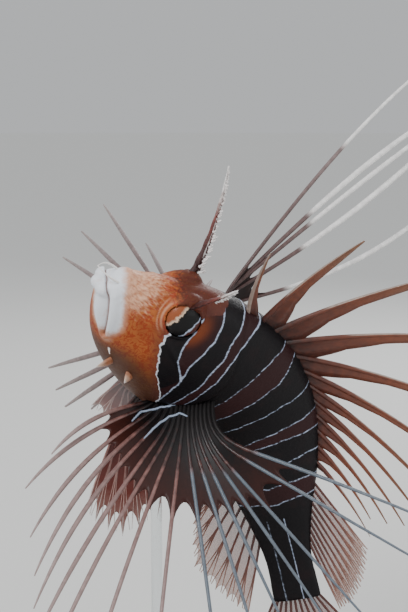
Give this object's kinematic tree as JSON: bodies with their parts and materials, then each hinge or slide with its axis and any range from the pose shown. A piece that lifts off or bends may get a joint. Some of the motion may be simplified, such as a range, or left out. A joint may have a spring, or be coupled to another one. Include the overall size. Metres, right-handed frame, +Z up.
{
  "type": "clearfin lionfish model on a display stand",
  "caption": "Still life-size lionfish with spread spines and long free pectoral rays, curled as in a hover, held by one rod on a flat base.",
  "frame": {"origin": "middle of the underside of the stand's base, on the surface that the stand rests on", "axes": "+Z up, along the rod; +Y away from the viewer of the picture, +X to that viewer's right"},
  "size_m": [0.1812, 0.2289, 0.2552],
  "materials": {
    "face": "satin, orange-brown with a white mouth",
    "skin": "satin, dark red-brown with thin white lines",
    "spines": "satin, red-brown with cream front edges",
    "fin_membrane": "satin, dark red with pale rays",
    "tentacle": "satin, red-brown with white fringes",
    "eye": "glossy, dark",
    "stand_wood": "satin lacquer",
    "stand_acrylic": "clear, polished"
  },
  "bodies": {
    "root": {"head": "face", "trunk": "skin", "tail_stalk": "skin", "dorsal_spines": "spines", "soft_dorsal_fin": "fin_membrane", "anal_fin": "fin_membrane", "tail_fin": "fin_membrane", "eye_left": "eye", "eye_right": "eye", "brow_tentacle_left": "tentacle", "brow_tentacle_right": "tentacle", "pectoral_fin_left": "fin_membrane", "pectoral_fin_right": "fin_membrane", "pelvic_fin_left": "fin_membrane", "pelvic_fin_right": "fin_membrane", "stand_base": "stand_wood", "stand_rod": "stand_acrylic"}
  },
  "joints": []
}
